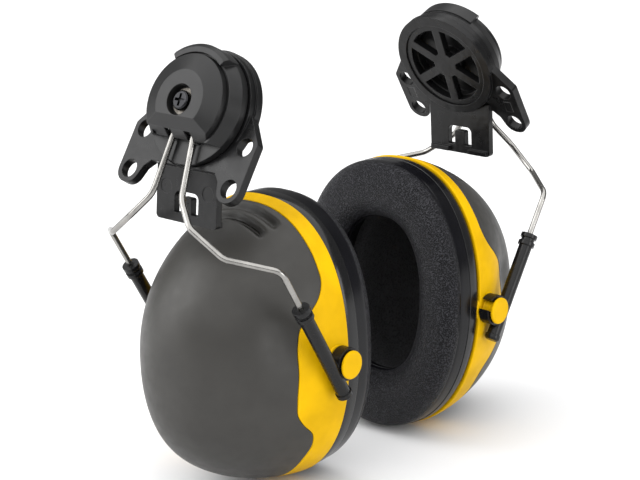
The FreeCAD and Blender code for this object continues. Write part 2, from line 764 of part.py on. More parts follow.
def build_washer(side):
    body = new_body(f"{side}_washer_body")
    face = new_sketch(body, f"{side}_washer_outline", height="dim.recess_floor")
    circle(face, "dim.washer_radius")
    circle(face, "dim.clear_hole_radius")
    pad(body, face, "dim.washer_thickness")
    finish(side, "screw_washer", body, knob_frame())


def build_screw(side):
    body = new_body(f"{side}_screw_body")
    seat = "dim.recess_floor + dim.washer_thickness"
    head = new_sketch(body, f"{side}_screw_head", height=seat)
    circle(head, "dim.head_radius")
    pad(body, head, "dim.head_height")
    top = value(seat) + value("dim.head_height")
    crown = edges_where(body, lambda e: abs(e.CenterOfMass.z - top) < 1e-3)
    fillet(body, f"{side}_screw_crown", crown, "dim.head_round")
    shank = new_sketch(body, f"{side}_screw_shank", height=seat)
    circle(shank, "dim.shank_radius")
    pad(body, shank, f"{seat} - dim.shank_end", reverse=True)
    cross = new_sketch(body, f"{side}_screw_cross", height=f"{seat} + dim.head_height")
    arm, half = "dim.cross_length / 2", "dim.cross_width / 2"
    polygon(cross, [
        (arm, f"-{half}"), (arm, half), (half, half), (half, arm), (f"-{half}", arm), (f"-{half}", half),
        (f"-{arm}", half), (f"-{arm}", f"-{half}"), (f"-{half}", f"-{half}"), (f"-{half}", f"-{arm}"),
        (half, f"-{arm}"), (half, f"-{half}"),
    ])
    pocket(body, cross, "dim.cross_depth")
    finish(side, "cap_screw", body, knob_frame())


# ---------------------------------------------------------------- arm: wire fork, barrel and springs

def tangent_path(points, radii):
    """Straight runs through the points, joined by tangent arcs of the given radii."""
    edges = []
    start = points[0]
    for before, corner, after, radius in zip(points, points[1:], points[2:], radii):
        way_in = (corner - before).normalize()
        way_out = (after - corner).normalize()
        turn = way_in.getAngle(way_out)
        cut = radius * math.tan(turn / 2)
        first = corner - way_in * cut
        last = corner + way_out * cut
        inward = (way_out - way_in).normalize()
        middle = corner + inward * (radius / math.cos(turn / 2) - radius)
        edges.append(Part.makeLine(start, first))
        edges.append(Part.Arc(first, middle, last).toShape())
        start = last
    edges.append(Part.makeLine(start, points[-1]))
    return Part.Wire(edges)


def wire_points():
    """The fork's corners, from the end of its front leg over the barrel to the end of its rear leg."""
    knob, arm = knob_frame(), arm_frame()
    reach, offset = value("dim.sleeve_reach"), value("dim.sleeve_offset")
    half = [
        arm.multVec(Vector(offset, reach, value("dim.wire_end"))),
        arm.multVec(Vector(offset, reach, value("dim.wire_shoulder_rise"))),
    ]
    for bend in ("elbow", "knee", "neck"):
        half.append(knob.multVec(Vector(value(f"dim.wire_{bend}_reach"), -value(f"dim.wire_{bend}_drop"),
                                        value(f"dim.wire_{bend}_height"))))
    half.append(knob.multVec(Vector(value("dim.wire_half_gap"), -value("dim.barrel_drop"),
                                    value("dim.barrel_height"))))
    mirror = [Vector(p.x, -p.y, p.z) for p in reversed(half)]
    return half + mirror


def build_wire(side):
    # A wire bent in space lies on no sketch plane, so its shape is worked out from the sheet here.
    bends = [value(f"dim.wire_{bend}_bend") for bend in ("shoulder", "elbow", "knee", "neck", "crank")]
    path = tangent_path(wire_points(), bends + bends[::-1])
    start = path.Edges[0]
    section = Part.Wire(Part.makeCircle(value("dim.wire_radius"), start.valueAt(start.FirstParameter),
                                        start.tangentAt(start.FirstParameter)))
    wire = doc.addObject("Part::Feature", f"{side}_wire_feature")
    wire.Shape = path.makePipeShell([section], True, True)
    ideal = math.pi * value("dim.wire_radius") ** 2 * path.Length
    print(f"{side} wire: length {path.Length:.1f} mm, volume {wire.Shape.Volume:.1f} of {ideal:.1f} mm3")
    finish(side, "wire_fork", wire, UNIT_FRAME)
    return wire


def build_barrel(side, wire):
    body = new_body(f"{side}_barrel_body")
    middle = new_sketch(body, f"{side}_barrel_outline", role="YZ_Plane")
    circle(middle, "dim.barrel_radius", "-dim.barrel_drop", "dim.barrel_height")
    pad(body, middle, "2 * dim.barrel_half_length", midplane=True)
    journals = new_sketch(body, f"{side}_journal_outline", role="YZ_Plane")
    circle(journals, "dim.journal_radius", "-dim.barrel_drop", "dim.barrel_height")
    pad(body, journals, "2 * dim.journal_end", midplane=True)
    body.Placement = place(side, knob_frame())
    barrel = doc.addObject("Part::Cut", f"{side}_barrel_cut")
    barrel.Base = body
    barrel.Tool = wire
    keep(side, "hinge_barrel", barrel)


def build_springs(side):
    # Two small torsion springs, one on each journal.
    turn = Rotation(Vector(0, 1, 0), 90)
    radius, pitch, turns = value("dim.spring_radius"), value("dim.spring_pitch"), value("dim.spring_turns")
    points = []
    for step in range(round(turns * SPRING_STEPS) + 1):
        angle = 2 * math.pi * step / SPRING_STEPS
        points.append(Vector(radius * math.cos(angle), radius * math.sin(angle), pitch * step / SPRING_STEPS))
    helix = Part.BSplineCurve()
    helix.interpolate(points)
    path = Part.Wire(helix.toShape())
    start = path.Edges[0]
    section = Part.Wire(Part.makeCircle(value("dim.spring_wire_radius"), points[0],
                                        start.tangentAt(start.FirstParameter)))
    coil = path.makePipeShell([section], True, False)
    coils = []
    for start in (value("dim.spring_start"), -value("dim.spring_start") - pitch * turns):
        copy = coil.copy()
        copy.Placement = Placement(Vector(start, -value("dim.barrel_drop"), value("dim.barrel_height")), turn)
        coils.append(copy)
    springs = doc.addObject("Part::Feature", f"{side}_spring_feature")
    springs.Shape = Part.makeCompound(coils)
    finish(side, "arm_springs", springs, knob_frame())


# ---------------------------------------------------------------- guide sleeves

def build_sleeve(side, end, way):
    body = new_body(f"{side}_{end}_sleeve_body")
    centre = f"{way}dim.sleeve_reach"
    lower_top = "dim.sleeve_top - dim.collar_height - dim.collar_gap"
    for name, radius, low, high in (
        ("tube", "dim.sleeve_radius", "-dim.sleeve_bottom", "dim.sleeve_top"),
        ("foot", "dim.foot_radius", "-dim.sleeve_bottom", "-dim.sleeve_bottom + dim.foot_height"),
        ("upper_collar", "dim.collar_radius", "dim.sleeve_top - dim.collar_height", "dim.sleeve_top"),
        ("lower_collar", "dim.collar_radius", f"{lower_top} - dim.collar_height", lower_top),
    ):
        outline = new_sketch(body, f"{side}_{end}_{name}", height=low)
        circle(outline, radius, "dim.sleeve_offset", centre)
        pad(body, outline, f"({high}) - ({low})")
    bottom = -value("dim.sleeve_bottom")
    rim = edges_where(body, lambda e: abs(e.CenterOfMass.z - bottom) < 1e-3)
    chamfer(body, f"{side}_{end}_foot_edge", rim, "dim.foot_bevel")

    # The open ring that clips over the cup's stud, with its mouth away from the tube.
    ring = new_sketch(body, f"{side}_{end}_clip", role="XZ_Plane", height=f"-({centre})")
    circle(ring, "dim.clip_radius")
    pad(body, ring, "dim.clip_width", midplane=True)
    eye = new_sketch(body, f"{side}_{end}_clip_eye", role="XZ_Plane", height=f"-({centre})")
    circle(eye, "dim.clip_bore_radius")
    pocket(body, eye, "dim.clip_width + dim.overlap", midplane=True)
    mouth = new_sketch(body, f"{side}_{end}_clip_mouth", role="XZ_Plane", height=f"-({centre})")
    rectangle(mouth, "-dim.clip_radius - dim.overlap", "-dim.overlap", "-dim.clip_gap / 2",
              "dim.clip_gap / 2")
    pocket(body, mouth, "dim.clip_width + dim.overlap", midplane=True)

    bore = new_sketch(body, f"{side}_{end}_bore", height="dim.sleeve_top")
    circle(bore, "dim.sleeve_bore_radius", "dim.sleeve_offset", centre)
    pocket(body, bore, "dim.sleeve_top + dim.sleeve_bottom - dim.sleeve_floor")
    finish(side, f"{end}_guide_sleeve", body, arm_frame())


# ---------------------------------------------------------------- ear cup

def dome_sections(body, name, inset, start=0.0):
    """Sketches of the dome's sections from a start height up to its crown, inset from the outside."""
    depth = value("dim.cup_depth") - inset
    sketches = []
    for station in DOME_STATIONS:
        share = start / depth + station * (1 - start / depth)
        shrink = 1 - share ** DOME_POWER
        side_part = shrink ** (1 / DOME_SIDE_ROOT)
        top_part = shrink ** (1 / DOME_TOP_ROOT)
        foot_part = shrink ** (1 / DOME_FOOT_ROOT)
        sketch = new_sketch(body, f"{name}_{round(100 * station)}",
                            height=f"(dim.cup_depth - {inset}) * {share:.4f}")
        tall = f"(dim.cup_half_height - {inset})"
        ellipse(sketch, f"(dim.cup_half_width - {inset}) * {side_part:.4f}",
                f"{tall} * {(top_part + foot_part) / 2:.4f}",
                f"{tall} * {(top_part - foot_part) / 2:.4f} - dim.cup_sink * {share ** 2:.4f}")
        sketches.append(sketch)
    crown = new_sketch(body, f"{name}_crown", height=f"dim.cup_depth - {inset}")
    point = crown.addGeometry(Part.Point(Vector(0, -value("dim.cup_sink"), 0)))
    pin_point(crown, point, 1, "0", "-dim.cup_sink")
    return sketches + [crown]


def build_cup_wall(side):
    body = new_body(f"{side}_cup_wall_body")
    loft("Additive", body, f"{side}_dome", dome_sections(body, f"{side}_dome_section", 0))
    doc.recompute()
    loft("Subtractive", body, f"{side}_hollow",
         dome_sections(body, f"{side}_hollow_section", value("dim.cup_wall")))
    doc.recompute()
    return body


def build_band_region(side):
    """The space on the rim's side of the wavy line between the band and the dome's shell."""
    body = new_body(f"{side}_band_region_body")
    outline = new_sketch(body, f"{side}_band_line", role="YZ_Plane")
    line = [Vector(rise, depth, 0) for rise, depth in BAND_LINE]
    curve = Part.BSplineCurve()
    curve.interpolate(line)
    outline.addGeometry(curve)
    below_rim = -value("dim.ring_depth")
    corners = [line[-1], Vector(line[-1].x, below_rim, 0), Vector(line[0].x, below_rim, 0), line[0]]
    for start, end in zip(corners, corners[1:]):
        outline.addGeometry(Part.LineSegment(start, end))
    pad(body, outline, "2 * (dim.cup_half_width + dim.overlap)", midplane=True)
    return body


def build_studs(side):
    body = new_body(f"{side}_studs_body")
    for way, reverse in (("", False), ("-", True)):
        end = "rear" if way == "" else "front"
        for name, radius, start, stop in (
            ("boss", "dim.stud_boss_radius", "dim.stud_start - dim.overlap", "dim.stud_boss_end"),
            ("stem", "dim.stud_radius", "dim.stud_start", "dim.stud_head_start"),
            ("head", "dim.stud_head_radius", "dim.stud_head_start", "dim.stud_head_end"),
        ):
            outline = new_sketch(body, f"{side}_{end}_stud_{name}", role="YZ_Plane", height=f"{way}({start})")
            circle(outline, radius, "dim.stud_rise", "dim.stud_height")
            pad(body, outline, f"{stop} - ({start})", reverse=reverse)
    far = value("dim.stud_head_end")
    rims = edges_where(body, lambda e: abs(abs(e.CenterOfMass.x) - far) < 1e-3)
    chamfer(body, f"{side}_stud_head_edges", rims, "dim.stud_head_bevel")
    return body


def build_shell_and_band(side):
    wall = build_cup_wall(side)
    region = build_band_region(side)
    shell = doc.addObject("Part::Cut", f"{side}_shell_cut")
    shell.Base = wall
    shell.Tool = region
    finish(side, "cup_shell", shell, cup_frame())
    rim_wall = doc.addObject("Part::Common", f"{side}_band_common")
    rim_wall.Base = wall
    rim_wall.Tool = region
    band = doc.addObject("Part::Fuse", f"{side}_band_fuse")
    band.Base = rim_wall
    band.Tool = build_studs(side)
    finish(side, "pivot_band", band, cup_frame())


def annulus(side, name, low, high, outer, inner, inner_rise="0"):
    """A flat oval ring between two heights of the cup frame."""
    body = new_body(f"{side}_{name}_body")
    outline = new_sketch(body, f"{side}_{name}_outline", height=low)
    ellipse(outline, *outer)
    pad(body, outline, f"({high}) - ({low})")
    hole = new_sketch(body, f"{side}_{name}_hole", height=high)
    ellipse(hole, *inner, inner_rise)
    pocket(body, hole, f"({high}) - ({low})")
    return body


def build_base_ring(side):
    """The stiff plate that closes the cup's rim, with a spigot that reaches into the cup."""
    flange = annulus(side, "base_flange", "-dim.ring_depth", "0",
                     ("dim.ring_half_width", "dim.ring_half_height"),
                     ("dim.ring_open_half_width", "dim.ring_open_half_height"))
    heights = [value("-dim.ring_depth"), 0]
    rims = edges_where(flange, lambda e: any(abs(e.CenterOfMass.z - h) < 1e-3 for h in heights)
                       and e.BoundBox.YLength > value("2 * dim.ring_half_height - dim.overlap"))
    chamfer(flange, f"{side}_ring_edges", rims, "dim.ring_bevel")
    spigot_out = "(dim.cup_wall + dim.ring_spigot_gap)"
    spigot_in = f"({spigot_out} + dim.ring_spigot_wall)"
    spigot = annulus(side, "base_spigot", "-dim.overlap", "dim.ring_spigot_height",
                     (f"dim.cup_half_width - {spigot_out}", f"dim.cup_half_height - {spigot_out}"),
                     (f"dim.cup_half_width - {spigot_in}", f"dim.cup_half_height - {spigot_in}"))
    ring = doc.addObject("Part::Fuse", f"{side}_base_ring_fuse")
    ring.Base = flange
    ring.Tool = spigot
    finish(side, "base_ring", ring, cup_frame())


def build_cushion(side):
    """The ring-shaped cushion: a soft cover, the foam in it and the stiff plate that clips it on."""
    frame_low = "-dim.ring_depth - dim.frame_thickness"
    plate = annulus(side, "cushion_plate", frame_low, "-dim.ring_depth",
                    ("dim.frame_half_width", "dim.frame_half_height"),
                    ("dim.ring_open_half_width", "dim.ring_open_half_height"))
    finish(side, "cushion_plate", plate, cup_frame())

    face = f"{frame_low} - dim.cushion_height"
    cover = annulus(side, "cushion", face, frame_low,
                    ("dim.cushion_half_width", "dim.cushion_half_height"),
                    ("dim.cushion_open_half_width", "dim.cushion_open_half_height"), "dim.cushion_open_rise")
    level = value(face)
    outer_size = value("2 * dim.cushion_half_height - dim.overlap")
    on_face = edges_where(cover, lambda e: abs(e.CenterOfMass.z - level) < 1e-3)
    shape = cover.Shape
    outer = [name for name in on_face if shape.getElement(name).BoundBox.YLength > outer_size]
    fillet(cover, f"{side}_cushion_outer_round", outer, "dim.cushion_round")
    on_face = edges_where(cover, lambda e: abs(e.CenterOfMass.z - level) < 1e-3)
    shape = cover.Shape
    limit = value("2 * dim.cushion_open_half_height + dim.overlap")
    mouth = [name for name in on_face if shape.getElement(name).BoundBox.YLength < limit]
    fillet(cover, f"{side}_cushion_mouth_round", mouth, "dim.cushion_mouth_round")

    inset = "dim.filling_inset"
    filling = annulus(side, "filling", f"{frame_low} - dim.filling_height", frame_low,
                      (f"dim.cushion_half_width - {inset}", f"dim.cushion_half_height - {inset}"),
                      (f"dim.cushion_open_half_width + {inset}", f"dim.cushion_open_half_height + {inset}"),
                      "dim.cushion_open_rise")
    skin = doc.addObject("Part::Cut", f"{side}_cushion_cut")
    skin.Base = cover
    skin.Tool = filling
    finish(side, "cushion_cover", skin, cup_frame())
    inner = doc.addObject("Part::Refine", f"{side}_filling_copy")
    inner.Source = filling
    finish(side, "cushion_filling", inner, cup_frame())


def build_liner(side):
    """The bowl of sound-damping foam inside the cup."""
    body = new_body(f"{side}_liner_body")
    inset = value("dim.cup_wall + dim.liner_gap")
    sections = dome_sections(body, f"{side}_liner_section", inset, value("dim.liner_start"))
    loft("Additive", body, f"{side}_liner_dome", sections)
    doc.recompute()
    mouth = new_sketch(body, f"{side}_liner_mouth", height="dim.liner_start")
    ellipse(mouth, "dim.liner_mouth_half_width", "dim.liner_mouth_half_height")
    pocket(body, mouth, "dim.liner_floor - dim.liner_start", reverse=True)
    finish(side, "foam_liner", body, cup_frame())


# ---------------------------------------------------------------- the two units

def build_unit(side):
    build_bracket(side)
    build_hub(side)
    build_housing(side)
    build_cap(side)
    build_washer(side)
    build_screw(side)
    wire = build_wire(side)
    build_barrel(side, wire)
    build_springs(side)
    # Local -y faces forward on the right unit and backward on the left one.
    ends = {"right": (("front", "-"), ("rear", "")), "left": (("front", ""), ("rear", "-"))}
    for end, way in ends[side]:
        build_sleeve(side, end, way)
    build_shell_and_band(side)
    build_base_ring(side)
    build_cushion(side)
    build_liner(side)


def check_document():
    """Stop if any object failed or any sub-part is empty or invalid."""
    for thing in doc.Objects:
        if any(word in thing.State for word in ("Invalid", "Error")):
            raise RuntimeError(f"{thing.Name} failed: {thing.State}")
    for piece in sub_parts:
        if piece.Shape.isNull() or not piece.Shape.isValid() or not piece.Shape.Solids:
            raise RuntimeError(f"{piece.Label} has no valid solid")


def write_parts():
    os.makedirs("parts", exist_ok=True)
    for piece in sub_parts:
        piece.Shape.exportStep(f"parts/{piece.Label}.step")


for unit_side in ("right", "left"):
    build_unit(unit_side)
doc.recompute()
check_document()
write_parts()
for piece in sub_parts:
    box = piece.Shape.BoundBox
    print(f"{piece.Label:26s} {len(piece.Shape.Solids)} solid(s) {piece.Shape.Volume:10.1f} mm3 "
          f"{box.XLength:6.1f} x {box.YLength:6.1f} x {box.ZLength:6.1f}")
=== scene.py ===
import json
import math

import bmesh
import bpy
import numpy as np
from mathutils import Matrix, Vector


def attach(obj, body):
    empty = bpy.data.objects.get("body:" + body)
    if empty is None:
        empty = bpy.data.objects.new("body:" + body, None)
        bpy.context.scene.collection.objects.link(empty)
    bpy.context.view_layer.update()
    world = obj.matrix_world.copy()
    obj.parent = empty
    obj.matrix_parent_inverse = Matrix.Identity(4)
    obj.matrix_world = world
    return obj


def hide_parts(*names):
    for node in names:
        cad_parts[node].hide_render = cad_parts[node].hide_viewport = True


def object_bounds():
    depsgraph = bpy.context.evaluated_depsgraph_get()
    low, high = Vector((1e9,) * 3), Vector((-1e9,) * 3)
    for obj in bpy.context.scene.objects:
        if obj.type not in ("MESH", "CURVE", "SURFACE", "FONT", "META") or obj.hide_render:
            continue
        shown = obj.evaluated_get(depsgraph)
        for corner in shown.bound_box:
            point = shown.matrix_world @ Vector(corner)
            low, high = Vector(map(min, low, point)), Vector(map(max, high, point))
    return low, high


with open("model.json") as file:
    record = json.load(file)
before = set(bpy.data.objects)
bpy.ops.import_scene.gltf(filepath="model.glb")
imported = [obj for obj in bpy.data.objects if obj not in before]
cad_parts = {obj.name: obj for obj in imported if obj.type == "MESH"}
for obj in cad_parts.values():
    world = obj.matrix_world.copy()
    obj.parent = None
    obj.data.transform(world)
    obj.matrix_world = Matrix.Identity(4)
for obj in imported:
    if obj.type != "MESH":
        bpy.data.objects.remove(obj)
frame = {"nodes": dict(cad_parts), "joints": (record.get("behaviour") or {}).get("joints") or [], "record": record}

# A pair of helmet-mounted ear muffs.  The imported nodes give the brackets, knobs, wires and sleeves; the
# moulded cups, their trims, the cushions and the foam are built here in the cup's own frame:
#   x to the rear on the right unit, y up, z out to the dome, in millimetres, origin in the middle of the rim.
cad_low, cad_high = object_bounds()

MM = 0.001
SIDES = ("right", "left")
JOINTS = {joint["name"]: joint for joint in frame["joints"]}

# Cup: where its frame stands, and the dome's shape.
CUP_LEAN = math.radians(2.9)
STUD_RISE = 1.0
STUD_HEIGHT = 5.0
HALF_WIDTH = 39.3
HALF_HEIGHT = 51.4
DEPTH = 51.0
SINK = 7.2
DOME_POWER = 1.55
SIDE_ROOT = 2.36
TOP_ROOT = 3.53
OVAL = 2.16
RIM_TOP_EXTRA = 2.6
CORNER_EXTRA = 0.26
WALL = 2.5

# The wavy line where band and shell meet: height up the cup, depth from the rim.
BAND_LINE = (
    (-55.4, 10.5), (-46.0, 11.2), (-37.0, 11.9), (-29.5, 11.5), (-25.0, 13.2), (-20.5, 17.6), (-16.0, 20.6),
    (-11.0, 21.3), (0.0, 20.7), (10.0, 20.0), (16.2, 18.1), (20.2, 14.3), (24.0, 10.3), (29.0, 7.3),
    (35.0, 6.4), (44.0, 5.9), (55.4, 5.2),
)
SEAM_ROUND = 0.4
RIM_ROUND = 0.35
SEAM_STEP = 0.015
RIM_STEP = 0.03

# Relief pressed into the dome: two finger grooves below the crown and a hollow beside each sleeve.
# Each groove: depth from the rim at the middle, how fast it drifts out, half length, depth of the press.
GROOVES = ((8.9, 0.085, 18.0, 2.2), (14.5, 0.09, 16.5, 2.6))
GROOVE_WIDTH = 1.45
GROOVE_END = 3.0
GROOVE_LOWEST = 20.0
HOLLOW_RISE = 10.0
HOLLOW_DEPTH = 24.0
HOLLOW_PRESS = 1.7
HOLLOW_TALL = 9.5
HOLLOW_WIDE = 6.5
HOLLOW_FROM = 10.0

# Rows and steps of the cup's meshes.
ROUND_STEPS = 288
SHELL_ROWS = 118
BAND_ROWS = 30
SHELL_INNER_ROWS = 24
BAND_INNER_ROWS = 10
STUD_STEPS = 72
CROWN_GAP = 0.012
SEAM_LIP = 0.0015
RIM_LIP = 2e-4


def cup_matrix(side):
    """From the cup's frame in millimetres to the part's frame in metres."""
    pivot = Vector(JOINTS[f"{side}_cup_tilt"]["pos_m"])
    axes = Matrix(((0, 0, 1, 0), (1, 0, 0, 0), (0, 1, 0, 0), (0, 0, 0, 1)))
    turn = Matrix.Rotation(CUP_LEAN, 4, "Y") @ axes
    if side == "left":
        turn = Matrix.Rotation(math.pi, 4, "Z") @ turn
    stud = turn @ Vector((0, STUD_RISE, STUD_HEIGHT)) * MM
    return Matrix.Translation(pivot - stud) @ turn @ Matrix.Scale(MM, 4)


# ------------------------------------------------------------------ mesh helpers

def ring_mesh(name, rings, close=False, poles=(False, False)):
    """A mesh from an array of rings of points, each ring closed on itself.

    close joins the last ring to the first; poles says which end rings get a point in their middle as a cap.
    """
    count, around = rings.shape[:2]
    points = rings.reshape(-1, 3).tolist()
    faces = []
    last = count if close else count - 1
    for row in range(last):
        here, there = row * around, (row + 1) % count * around
        for step in range(around):
            after = (step + 1) % around
            faces.append((here + step, here + after, there + after, there + step))
    for end, wanted in enumerate(poles):
        if wanted:
            row = 0 if end == 0 else count - 1
            points.append(rings[row].mean(axis=0).tolist())
            for step in range(around):
                pair = (row * around + step, row * around + (step + 1) % around)
                faces.append((len(points) - 1, *(pair[::-1] if end == 0 else pair)))
    mesh = bpy.data.meshes.new(name)
    mesh.from_pydata(points, [], faces)
    return mesh


def turn_outward(mesh):
    """Make a closed mesh's faces point out."""
    shell = bmesh.new()
    shell.from_mesh(mesh)
    bmesh.ops.recalc_face_normals(shell, faces=shell.faces)
    shell.to_mesh(mesh)
    shell.free()


def add_piece(name, mesh, matrix, body, material, stands_for=()):
    """Turn a finished mesh into a piece that rides on a body."""
    mesh.transform(matrix)
    turn_outward(mesh)
    mesh.shade_smooth()
    piece = bpy.data.objects.new(name, mesh)
    bpy.context.scene.collection.objects.link(piece)
    mesh.materials.append(material)
    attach(piece, body)
    if stands_for:
        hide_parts(*stands_for)
    return piece


def hermite(table, where):
    """A smooth curve through a table of pairs, read at an array of places."""
    xs, ys = np.array(table, float).T
    slopes = np.gradient(ys, xs)
    index = np.clip(np.searchsorted(xs, where) - 1, 0, len(xs) - 2)
    span = xs[index + 1] - xs[index]
    part = np.clip((where - xs[index]) / span, 0, 1)
    rise = ys[index + 1] - ys[index]
    bend_in = slopes[index] * span - rise
    bend_out = rise - slopes[index + 1] * span
    return ys[index] + part * rise + part * (1 - part) * ((1 - part) * bend_in + part * bend_out)


def signed_power(number, power):
    """A power that keeps its number's sign."""
    return np.sign(number) * np.abs(number) ** power


def roundness(angle, fullness, extra):
    """The power of an oval round its outline: fuller in the upper quadrant on the x side."""
    corner = (np.cos(angle) > 0) & (np.sin(angle) > 0)
    return 2 / (fullness + extra * corner)


def oval(angle, half_width, half_height, fullness, rise=0.0):
    """Points of an upright oval, a little squarer than an ellipse, with its middle raised."""
    power = roundness(angle, fullness, CORNER_EXTRA if rise else 0.0)
    return np.stack([half_width * signed_power(np.cos(angle), power),
                     half_height * signed_power(np.sin(angle), power) + rise], axis=-1)


# ------------------------------------------------------------------ the dome's surface

AROUND = np.linspace(0, 2 * math.pi, ROUND_STEPS, endpoint=False)


def dome_point(angle, climb, inset=0.0):
    """The dome at an angle round the cup and a climb from the rim (0) to the crown (pi / 2)."""
    angle, climb = np.broadcast_arrays(angle, climb)
    share = np.sin(climb) ** (2 / DOME_POWER)
    shrink = np.cos(climb) ** 2
    side_part, top_part = shrink ** (1 / SIDE_ROOT), shrink ** (1 / TOP_ROOT)
    tall = HALF_HEIGHT - inset
    near_rim = (1 - share) ** 3
    power = roundness(angle, OVAL, CORNER_EXTRA * near_rim)
    x = (HALF_WIDTH - inset) * side_part * signed_power(np.cos(angle), power)
    top = tall * top_part + RIM_TOP_EXTRA * near_rim
    foot = tall * side_part
    y = (top + foot) / 2 * signed_power(np.sin(angle), power) + (top - foot) / 2 - SINK * share ** 2
    return np.stack([x, y, (DEPTH - inset) * share], axis=-1)


def dome_normal(angle, climb):
    """Unit vectors that point out of the dome."""
    small = 1e-4
    ahead = dome_point(angle + small, climb) - dome_point(angle - small, climb)
    higher = np.minimum(climb + small, math.pi / 2 - 1e-6)
    upward = dome_point(angle, higher) - dome_point(angle, climb - small)
    normal = np.cross(ahead, upward)
    return normal / np.linalg.norm(normal, axis=-1, keepdims=True)


def pressed_in(points):
    """How far the grooves and hollows press a point of the dome in, in millimetres."""
    across, height, depth = np.abs(points[..., 0]), points[..., 1], points[..., 2]
    press = np.zeros(across.shape)
    for start, drift, half_length, deep in GROOVES:
        off = depth - start - drift * across
        end = np.clip((half_length - across) / GROOVE_END, 0, 1)
        share = end * end * (3 - 2 * end) * (height > GROOVE_LOWEST)
        press += deep * share * np.exp(-((off / GROOVE_WIDTH) ** 4))
    hollow = ((height - HOLLOW_RISE) / HOLLOW_TALL) ** 2 + ((depth - HOLLOW_DEPTH) / HOLLOW_WIDE) ** 2
    return press + HOLLOW_PRESS * np.exp(-hollow) * (across > HOLLOW_FROM)


def dome_skin(angle, climb):
    """The outside of the cup, with its relief, and its normals."""
    angle, climb = np.broadcast_arrays(angle, climb)
    points = dome_point(angle, climb)
    normals = dome_normal(angle, climb)
    return points - normals * pressed_in(points)[..., None], normals


def seam_climb():
    """How far up the dome the band ends, all round."""
    climb = np.full(ROUND_STEPS, 0.3)
    for _ in range(40):
        height = dome_point(AROUND, climb)[:, 1]
        share = hermite(BAND_LINE, height) / DEPTH
        climb = 0.5 * climb + 0.5 * np.arcsin(share ** (DOME_POWER / 2))
    return climb


def lip(points, normals, inward, radius):
    """Rows that round an edge off: from the skin, over the edge, down into the seam."""
    rows = []
    for turn in (0.0, 0.35, 0.7, 1.0):
        bow = turn * math.pi / 2
        rows.append(points + inward * radius * (1 - math.sin(bow)) - normals * radius * (1 - math.cos(bow)))
    return rows


def across_surface(angle, climb):
    """Unit vectors on the dome that point to its crown."""
    step = 1e-3
    way = dome_point(angle, climb + step) - dome_point(angle, climb - step)
    return way / np.linalg.norm(way, axis=-1, keepdims=True)


def shell_mesh(name, seam):
    """The grey dome: outside from the seam to the crown, and back down the inside."""
    top = math.pi / 2 - CROWN_GAP
    shares = np.linspace(0, 1, SHELL_ROWS)[:, None]
    climbs = seam + SEAM_STEP + (top - seam - SEAM_STEP) * shares
    outside, _ = dome_skin(AROUND, climbs)
    edge, normals = dome_skin(AROUND, seam + SEAM_LIP)
    rounding = lip(edge, normals, across_surface(AROUND, seam), SEAM_ROUND)
    inner = dome_point(AROUND, seam + (top - seam) * np.linspace(0, 1, SHELL_INNER_ROWS)[:, None], WALL)
    rings = np.concatenate([inner[::-1], np.stack(rounding[::-1]), outside])
    return ring_mesh(name, rings, poles=(True, True))


def band_mesh(name, seam):
    """The yellow band between the rim and the seam, with both edges rounded."""
    shares = np.linspace(0, 1, BAND_ROWS)[:, None]
    climbs = RIM_STEP + (seam - SEAM_STEP - RIM_STEP) * shares
    outside, _ = dome_skin(AROUND, climbs)
    top_edge, top_normals = dome_skin(AROUND, seam - SEAM_LIP)
    rim_edge, rim_normals = dome_skin(AROUND, np.full(ROUND_STEPS, RIM_LIP))
    rim_rows = lip(rim_edge, rim_normals, np.array([0.0, 0.0, 1.0]), RIM_ROUND)
    top_rows = lip(top_edge, top_normals, -across_surface(AROUND, seam), SEAM_ROUND)
    inner = dome_point(AROUND, 1e-4 + seam * np.linspace(0, 0.98, BAND_INNER_ROWS)[:, None], WALL)
    rings = np.concatenate([np.stack(rim_rows[::-1]), outside, np.stack(top_rows), inner[::-1]])
    return ring_mesh(name, rings, close=True)


# ------------------------------------------------------------------ studs, rings, cushion, foam

STUD_PROFILE = (
    (37.0, 6.2), (38.3, 6.2), (38.75, 6.0), (38.9, 5.6), (38.95, 3.4), (39.1, 3.2), (44.0, 3.2), (44.15, 3.3),
    (44.2, 4.5), (44.25, 4.85), (44.45, 5.03), (44.95, 5.05), (45.22, 4.92), (45.36, 4.65), (45.4, 4.2),
    (45.38, 3.4), (45.36, 1.5), (45.36, 0.2),
)


def stud_mesh(name, way):
    """A turned stud that stands out of the band along the cup's x axis."""
    turns = np.linspace(0, 2 * math.pi, STUD_STEPS, endpoint=False)
    rings = []
    for reach, radius in STUD_PROFILE:
        rings.append(np.stack([np.full(turns.shape, way * reach), STUD_RISE + radius * np.sin(turns),
                               STUD_HEIGHT + radius * np.cos(turns)], axis=-1))
    return ring_mesh(name, np.array(rings), poles=(True, True))


# Ovals of the trims: half width, half height, fullness, rise of the middle.
RING_OUTER = (38.95, 52.4, 2.15, 1.3)
RING_INNER = (25.5, 36.0, 2.2, 0.0)
CUSHION_OUTER = (38.76, 52.21, 2.15, 1.3)
CUSHION_MOUTH = (20.5, 30.0, 2.3, 2.0)
RING_FOOT = -5.5


def band_of_profile(profile, inner, outer):
    """Rings of points from a profile of pairs: reach from the inner oval along x, height."""
    inside, outside = oval(AROUND, *inner), oval(AROUND, *outer)
    rings = []
    for reach, height in profile:
        share = reach / (outer[0] - inner[0])
        flat = inside * (1 - share) + outside * share
        rings.append(np.concatenate([flat, np.full((ROUND_STEPS, 1), height)], axis=1))
    return np.array(rings)


def arc(centre, radius, start, stop, steps, fullness=2.0):
    """Points of part of an ellipse or of a fuller oval, in degrees."""
    angles = np.radians(np.linspace(start, stop, steps))
    return [(centre[0] + radius[0] * float(signed_power(math.cos(a), 2 / fullness)),
             centre[1] + radius[1] * float(signed_power(math.sin(a), 2 / fullness))) for a in angles]


